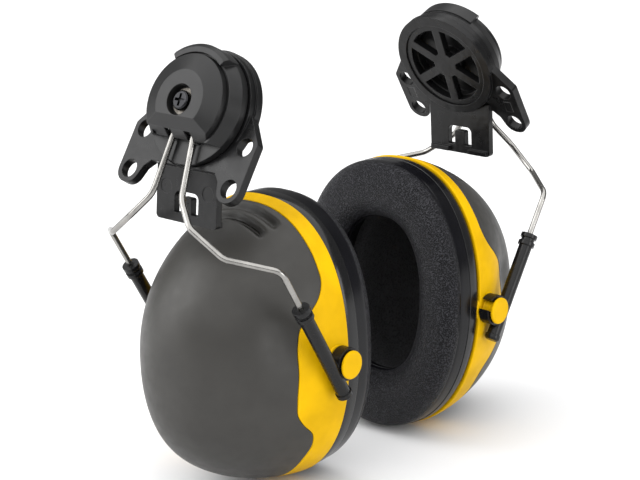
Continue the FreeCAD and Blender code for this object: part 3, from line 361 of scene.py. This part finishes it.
def base_ring_mesh(name):
    """The glossy ring: a gap and a bulging edge by the cup, and a small ledge by the cushion."""
    edge = RING_OUTER[0] - RING_INNER[0]
    profile = [(0.0, RING_FOOT), (0.0, 0.0), (edge - 1.3, 0.0), (edge - 1.2, -0.03), (edge - 0.95, -0.26)]
    profile += arc((edge - 0.85, -3.6), (0.85, 3.3), 86, 0, 16)
    profile += [(edge, -4.5), (edge - 0.01, -5.38), (edge - 0.015, -5.45), (edge - 0.06, RING_FOOT),
                (edge - 0.13, RING_FOOT)]
    return ring_mesh(name, band_of_profile(profile, RING_INNER, RING_OUTER), close=True)


# Heights of the cushion's section, from the ring to its face, and how far in its crest lies.
CUSHION_FOOT = -5.54
CUSHION_STEP = -7.2
CUSHION_EDGE = -8.8
CUSHION_FACE = -18.1
PLATE_SHELF = 2.0
CREST = 7.6
# The pebbled grain starts this far past the edge and is at its full depth after the blend.
GRAIN_START = 2.2
GRAIN_BLEND = 1.6


def cushion_profile():
    """The cushion's section, from the foot of its side wall over the face and down into the opening."""
    edge = CUSHION_OUTER[0] - CUSHION_MOUTH[0]
    side = [(edge - PLATE_SHELF, CUSHION_FOOT), (edge - 0.1, CUSHION_FOOT), (edge - 0.03, CUSHION_FOOT),
            (edge, CUSHION_FOOT - 0.03), (edge, CUSHION_FOOT - 0.1), (edge, -6.6), (edge - 0.02, -7.7)]
    rise = CUSHION_EDGE - CUSHION_FACE
    face = arc((CREST, CUSHION_EDGE), (edge - 0.05 - CREST, rise), 0, -90, 34, 2.3)
    inner = arc((CREST, CUSHION_EDGE - 0.6), (CREST, rise - 0.6), -90, -180, 22, 2.1)
    foot = [(0.0, -9.6), (0.05, -8.2), (0.2, CUSHION_STEP), (edge - PLATE_SHELF, CUSHION_STEP)]
    return side + face + inner[1:] + foot


def cushion_mesh(name):
    """The cushion's skin; "grain" is 1 where the film is pebbled and 0 on the smooth side wall."""
    profile = cushion_profile()
    rings = band_of_profile(profile, CUSHION_MOUTH, CUSHION_OUTER)
    mesh = ring_mesh(name, rings, close=True)
    grain = mesh.attributes.new("grain", "FLOAT", "POINT")
    grains = []
    for _, height in profile:
        grains += [min(max((CUSHION_EDGE - GRAIN_START - height) / GRAIN_BLEND, 0.0), 1.0)] * ROUND_STEPS
    grain.data.foreach_set("value", grains)
    return mesh


# The foam bowl: gap to the dome's outside, its start and its floor up the cup, and its mouth's oval.
LINER_INSET = 3.1
LINER_START = 3.6
LINER_FLOOR = 22.0
LINER_MOUTH = (24.0, 35.0, 2.2)


def liner_mesh(name):
    """The bowl of foam that fills the cup."""
    rings = []
    mouth = oval(AROUND, *LINER_MOUTH)
    for share, height in [(0.02, LINER_FLOOR), (0.4, LINER_FLOOR), (0.7, LINER_FLOOR - 0.2),
                          (0.86, LINER_FLOOR - 1.2), (0.95, LINER_FLOOR - 3.2), (0.99, LINER_FLOOR - 6.5),
                          (1.0, LINER_FLOOR - 10), (1.0, LINER_START + 3), (1.01, LINER_START + 1),
                          (1.04, LINER_START + 0.1)]:
        rings.append(np.concatenate([mouth * share, np.full((ROUND_STEPS, 1), height)], axis=1))
    first = math.asin((LINER_START / (DEPTH - LINER_INSET)) ** (DOME_POWER / 2))
    climbs = np.linspace(first, math.pi / 2 - 0.02, 30)[:, None]
    outside = dome_point(AROUND, climbs, LINER_INSET)
    return ring_mesh(name, np.concatenate([np.array(rings), outside]), poles=(True, True))


# ------------------------------------------------------------------ materials

def new_material(name, color, roughness, **sockets):
    """A material with its node tree and its Principled shader, whose sockets are set by name."""
    material = bpy.data.materials.new(name)
    material.use_nodes = True
    shader = material.node_tree.nodes["Principled BSDF"]
    shader.inputs["Base Color"].default_value = (*color, 1)
    shader.inputs["Roughness"].default_value = roughness
    for socket, number in sockets.items():
        shader.inputs[socket.replace("_", " ")].default_value = number
    return material, material.node_tree, shader


def add_node(tree, kind, **settings):
    """A node whose inputs, or else properties, are set by name."""
    node = tree.nodes.new(kind)
    for key, number in settings.items():
        if key in node.inputs:
            node.inputs[key].default_value = number
        else:
            setattr(node, key, number)
    return node


def place_coords(tree):
    """Texture coordinates in the piece's own metres."""
    return add_node(tree, "ShaderNodeTexCoord").outputs["Object"]


def noise(tree, coords, scale, detail=4.0, roughness=0.55):
    """A noise value at the coordinates."""
    node = add_node(tree, "ShaderNodeTexNoise", Scale=scale, Detail=detail, Roughness=roughness)
    tree.links.new(coords, node.inputs["Vector"])
    return node.outputs["Fac"]


def spread(tree, value, low, high, out_low, out_high):
    """A value carried from one range to another, and held at its ends."""
    node = add_node(tree, "ShaderNodeMapRange")
    tree.links.new(value, node.inputs["Value"])
    for socket, number in (("From Min", low), ("From Max", high), ("To Min", out_low), ("To Max", out_high)):
        node.inputs[socket].default_value = number
    return node.outputs["Result"]


def blend_color(tree, factor, first, second):
    """A mix of two colours, each given as numbers or as a socket."""
    node = add_node(tree, "ShaderNodeMix", data_type="RGBA")
    tree.links.new(factor, node.inputs[0])
    for socket, color in ((6, first), (7, second)):
        if isinstance(color, tuple):
            node.inputs[socket].default_value = (*color, 1)
        else:
            tree.links.new(color, node.inputs[socket])
    return node.outputs[2]


def bump(tree, height, strength, distance, normal=None):
    """A normal that is tilted by a height, on top of another normal if one is given."""
    node = add_node(tree, "ShaderNodeBump", Strength=strength, Distance=distance)
    tree.links.new(height, node.inputs["Height"])
    if normal is not None:
        tree.links.new(normal, node.inputs["Normal"])
    return node.outputs["Normal"]


def soft_edge(tree, radius):
    """The normal of a slightly rounded edge, and a mask that is 1 on edges."""
    bevel = add_node(tree, "ShaderNodeBevel", samples=6, Radius=radius)
    true = add_node(tree, "ShaderNodeNewGeometry")
    dot = add_node(tree, "ShaderNodeVectorMath", operation="DOT_PRODUCT")
    tree.links.new(bevel.outputs["Normal"], dot.inputs[0])
    tree.links.new(true.outputs["Normal"], dot.inputs[1])
    return bevel.outputs["Normal"], spread(tree, dot.outputs["Value"], 0.99, 0.8, 0, 1)


def moulded(name, color, edge_wear_and_glint, roughness, grain=0.05, edge=0.0004, wave=0.0, **sockets):
    """Moulded plastic: fine grain, slow changes of colour and gloss, and edges painted lighter, partly as rubbed
    wear and partly as a painted highlight for the glints on edges.
    """
    material, tree, shader = new_material(name, color, roughness, **sockets)
    coords = place_coords(tree)
    slow = noise(tree, coords, 60, 3)
    fine = noise(tree, coords, 2600, 2)
    darker = tuple(0.82 * part for part in color)
    base = blend_color(tree, spread(tree, slow, 0.35, 0.65, 0, 1), color, darker)
    # Edges are painted lighter in patches: partly rubbed wear, partly a painted highlight standing in for glints
    # on the edges.
    normal, edge_mask = soft_edge(tree, edge)
    scuff_and_glint_patches = spread(tree, noise(tree, coords, 350, 5, 0.7), 0.45, 0.75, 0, 1)
    wear_and_glint = add_node(tree, "ShaderNodeMath", operation="MULTIPLY")
    tree.links.new(edge_mask, wear_and_glint.inputs[0])
    tree.links.new(scuff_and_glint_patches, wear_and_glint.inputs[1])
    tree.links.new(blend_color(tree, wear_and_glint.outputs[0], base, edge_wear_and_glint), shader.inputs["Base Color"])
    tree.links.new(spread(tree, noise(tree, coords, 240, 4), 0.3, 0.7, roughness - 0.05, roughness + 0.06),
                   shader.inputs["Roughness"])
    if wave:
        normal = bump(tree, noise(tree, coords, 110, 2), wave, 0.0012, normal)
    tree.links.new(bump(tree, fine, grain, 0.0001, normal), shader.inputs["Normal"])
    return material


def drawn_metal(name, color, roughness, ripple=0.12):
    """Drawn or rolled metal with a fine uneven gloss and faint stains."""
    material, tree, shader = new_material(name, color, roughness, Metallic=1.0)
    coords = place_coords(tree)
    lines = noise(tree, coords, 900, 5, 0.7)
    stain = noise(tree, coords, 160, 4)
    dull = tuple(0.72 * part for part in color)
    tree.links.new(blend_color(tree, spread(tree, stain, 0.4, 0.75, 0, 1), color, dull),
                   shader.inputs["Base Color"])
    tree.links.new(spread(tree, lines, 0.3, 0.7, roughness * 0.75, roughness * 1.4),
                   shader.inputs["Roughness"])
    tree.links.new(bump(tree, lines, ripple, 0.00005), shader.inputs["Normal"])
    return material


def cushion_skin():
    """Black plastic film: pebbled where it covers the face, with a painted highlight on the pebbles' crests,
    smooth and shinier down the side wall.
    """
    material, tree, shader = new_material("cushion_skin", (0.01, 0.01, 0.011), 0.4, Specular_IOR_Level=0.17)
    coords = place_coords(tree)
    pebbles = add_node(tree, "ShaderNodeTexVoronoi", Scale=2000, Randomness=1.0)
    tree.links.new(coords, pebbles.inputs["Vector"])
    patch = noise(tree, coords, 420, 3)
    where = add_node(tree, "ShaderNodeAttribute", attribute_name="grain")
    lumps = add_node(tree, "ShaderNodeMath", operation="ADD")
    tree.links.new(pebbles.outputs["Distance"], lumps.inputs[0])
    tree.links.new(patch, lumps.inputs[1])
    masked = add_node(tree, "ShaderNodeMath", operation="MULTIPLY")
    tree.links.new(lumps.outputs[0], masked.inputs[0])
    tree.links.new(where.outputs["Fac"], masked.inputs[1])
    tree.links.new(bump(tree, masked.outputs[0], 0.9, 0.0009), shader.inputs["Normal"])
    tree.links.new(spread(tree, where.outputs["Fac"], 0, 1, 0.2, 0.38), shader.inputs["Roughness"])
    slow = spread(tree, noise(tree, coords, 70, 3), 0.35, 0.65, 0, 1)
    base = blend_color(tree, slow, (0.003, 0.003, 0.004), (0.005, 0.005, 0.0064))
    # Painted highlight: the crests of the pebbles are painted lighter, standing in for glints of light on the
    # grain.
    painted_grain_glints = add_node(tree, "ShaderNodeMath", operation="MULTIPLY")
    tree.links.new(spread(tree, pebbles.outputs["Distance"], 0.42, 0.7, 0, 1), painted_grain_glints.inputs[0])
    tree.links.new(where.outputs["Fac"], painted_grain_glints.inputs[1])
    tree.links.new(blend_color(tree, painted_grain_glints.outputs[0], base, (0.034, 0.034, 0.039)),
                   shader.inputs["Base Color"])
    return material


def open_foam(name, color, scale):
    """Open-cell foam: deep pores painted with shade, and no gloss."""
    material, tree, shader = new_material(name, color, 0.95)
    coords = place_coords(tree)
    cells = add_node(tree, "ShaderNodeTexVoronoi", Scale=scale)
    tree.links.new(coords, cells.inputs["Vector"])
    pores = spread(tree, cells.outputs["Distance"], 0.1, 0.6, 0, 1)
    # Painted shade: the pores are painted darker, standing in for the shade inside them.
    pore_shade = tuple(0.45 * part for part in color)
    tree.links.new(blend_color(tree, pores, pore_shade, color), shader.inputs["Base Color"])
    tree.links.new(bump(tree, pores, 0.6, 0.0006), shader.inputs["Normal"])
    return material


def pale_floor():
    """A matt pale floor with faint unevenness."""
    material, tree, shader = new_material("pale_floor", (0.8, 0.8, 0.8), 0.7)
    slow = spread(tree, noise(tree, place_coords(tree), 3, 2), 0.3, 0.7, 0, 1)
    tree.links.new(blend_color(tree, slow, (0.8, 0.8, 0.8), (0.78, 0.78, 0.785)), shader.inputs["Base Color"])
    return material


# The second colour of each moulded material is its lighter edge colour: rubbed wear together with a painted edge
# highlight.
MATERIALS = {
    "black_nylon": moulded("black_nylon", (0.01, 0.01, 0.0103), (0.04, 0.04, 0.041), 0.34, grain=0.14,
                           Specular_IOR_Level=0.26),
    "bracket_nylon": moulded("bracket_nylon", (0.005, 0.005, 0.0053), (0.05, 0.05, 0.052), 0.3, grain=0.14,
                             wave=0.35, Specular_IOR_Level=0.22),
    "black_acetal": moulded("black_acetal", (0.005, 0.005, 0.0053), (0.025, 0.025, 0.026), 0.26,
                            Specular_IOR_Level=0.24),
    "gloss_black": moulded("gloss_black", (0.006, 0.006, 0.0065), (0.012, 0.012, 0.013), 0.2, grain=0.02,
                           Specular_IOR_Level=0.36),
    "grey_shell": moulded("grey_shell", (0.0335, 0.032, 0.029), (0.06, 0.059, 0.055), 0.44, grain=0.08,
                          Specular_IOR_Level=0.3),
    "yellow_shell": moulded("yellow_shell", (0.7, 0.405, 0.001), (0.75, 0.46, 0.005), 0.45, grain=0.05,
                            Specular_IOR_Level=0.06),
    "stainless_wire": drawn_metal("stainless_wire", (0.3, 0.292, 0.278), 0.22, ripple=0.01),
    "spring_steel": drawn_metal("spring_steel", (0.5, 0.5, 0.5), 0.3),
    "zinc_steel": drawn_metal("zinc_steel", (0.2, 0.185, 0.165), 0.55),
    "black_steel": drawn_metal("black_steel", (0.028, 0.028, 0.03), 0.24),
    "cushion_skin": cushion_skin(),
    "cushion_foam": open_foam("cushion_foam", (0.05, 0.05, 0.05), 900),
    "liner_foam": open_foam("liner_foam", (0.03, 0.03, 0.032), 1100),
}


def dress_cad_nodes():
    """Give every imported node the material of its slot; the bracket and its wheel have a shinier face."""
    slots = {part["node"]: part["material_slot"] for part in frame["record"]["subparts"]}
    for node, piece in frame["nodes"].items():
        look = "bracket_nylon" if node.endswith(("helmet_bracket", "hub_disc")) else slots[node]
        piece.data.materials.clear()
        piece.data.materials.append(MATERIALS[look])


# ------------------------------------------------------------------ building the cups

def build_cup(side):
    """The moulded cup, its trims and its soft parts, on the cup's body."""
    body = f"{side}_cup"
    place = cup_matrix(side)
    seam = seam_climb()

    def piece(name, mesh, slot, stands_for=()):
        return add_piece(f"{side}_{name}", mesh, place, body, MATERIALS[slot],
                         [f"{side}_{node}" for node in stands_for])

    piece("shell_moulding", shell_mesh("shell_moulding", seam), "grey_shell", ["cup_shell"])
    piece("band_moulding", band_mesh("band_moulding", seam), "yellow_shell", ["pivot_band"])
    for end, way in (("front", -1), ("rear", 1)):
        way = way if side == "right" else -way
        piece(f"{end}_stud", stud_mesh("stud", way), "yellow_shell")
    piece("ring_moulding", base_ring_mesh("ring_moulding"), "gloss_black", ["base_ring"])
    cushion = piece("ear_cushion", cushion_mesh("ear_cushion"), "cushion_skin",
                    ["cushion_cover", "cushion_filling"])
    foam = piece("cup_foam", liner_mesh("cup_foam"), "liner_foam", ["foam_liner"])


# ------------------------------------------------------------------ stage, light and camera

CAMERA_PLACE = (-0.5170, -0.4528, 0.1245)
CAMERA_AZIMUTH = math.radians(-48.3)
CAMERA_RISE = math.radians(14.94)
CAMERA_LENS = 107.6
CAMERA_SENSOR = 36.0
CAMERA_CLIP = (0.01, 50)

FLOOR_REACH = 6.0
SURROUND_LIGHT = 0.25
SUN_LIGHT = 4.4
SUN_WAY = (-0.3, -0.12, 1.0)
SUN_DISTANCE = 2.0
SUN_SOFTNESS = math.radians(110)
# Softboxes: name, direction from the part, distance, sides, power.
SOFTBOXES = (
    ("key_softbox", (-0.65, 0.6, 0.38), 0.95, (0.8, 0.8), 7.2),
    ("fill_softbox", (0.08, -1.0, 0.12), 1.1, (0.5, 0.6), 4.4),
)


def build_stage():
    """A pale floor under the cups and a white surround."""
    mesh = bpy.data.meshes.new("floor")
    reach, level = FLOOR_REACH, cad_low.z
    mesh.from_pydata([(-reach, -reach, level), (reach, -reach, level), (reach, reach, level),
                      (-reach, reach, level)], [], [(0, 1, 2, 3)])
    floor = bpy.data.objects.new("floor", mesh)
    mesh.materials.append(pale_floor())
    bpy.context.scene.collection.objects.link(floor)
    world = bpy.data.worlds.new("surround")
    world.use_nodes = True
    background = world.node_tree.nodes["Background"]
    background.inputs["Color"].default_value = (1, 1, 1, 1)
    background.inputs["Strength"].default_value = SURROUND_LIGHT
    bpy.context.scene.world = world


def add_lamp(name, kind, way, distance, power):
    """A lamp that shines on the middle of the part from a direction."""
    light = bpy.data.lights.new(name, kind)
    light.energy = power
    lamp = bpy.data.objects.new(name, light)
    toward = Vector(way).normalized()
    lamp.location = (cad_low + cad_high) / 2 + toward * distance
    lamp.rotation_euler = (-toward).to_track_quat("-Z", "Y").to_euler()
    bpy.context.scene.collection.objects.link(lamp)
    return light


def build_lights():
    """A broad soft light from above, a softbox behind on the left and a weaker one in front on the right."""
    add_lamp("top_light", "SUN", SUN_WAY, SUN_DISTANCE, SUN_LIGHT).angle = SUN_SOFTNESS
    for name, way, distance, sides, power in SOFTBOXES:
        softbox = add_lamp(name, "AREA", way, distance, power)
        softbox.shape = "RECTANGLE"
        softbox.size, softbox.size_y = sides


def build_camera():
    """The camera at the viewing angle, aimed along its own azimuth and rise."""
    data = bpy.data.cameras.new("camera")
    data.sensor_width = CAMERA_SENSOR
    data.lens = CAMERA_LENS
    data.clip_start, data.clip_end = CAMERA_CLIP
    camera = bpy.data.objects.new("camera", data)
    camera.location = CAMERA_PLACE
    back = Vector((math.sin(CAMERA_AZIMUTH) * math.cos(CAMERA_RISE),
                   -math.cos(CAMERA_AZIMUTH) * math.cos(CAMERA_RISE), math.sin(CAMERA_RISE)))
    camera.rotation_euler = (-back).to_track_quat("-Z", "Y").to_euler()
    bpy.context.scene.collection.objects.link(camera)
    bpy.context.scene.camera = camera
    bpy.context.scene.view_settings.view_transform = "Standard"


dress_cad_nodes()
for cup_side in SIDES:
    build_cup(cup_side)
build_stage()
build_lights()
build_camera()
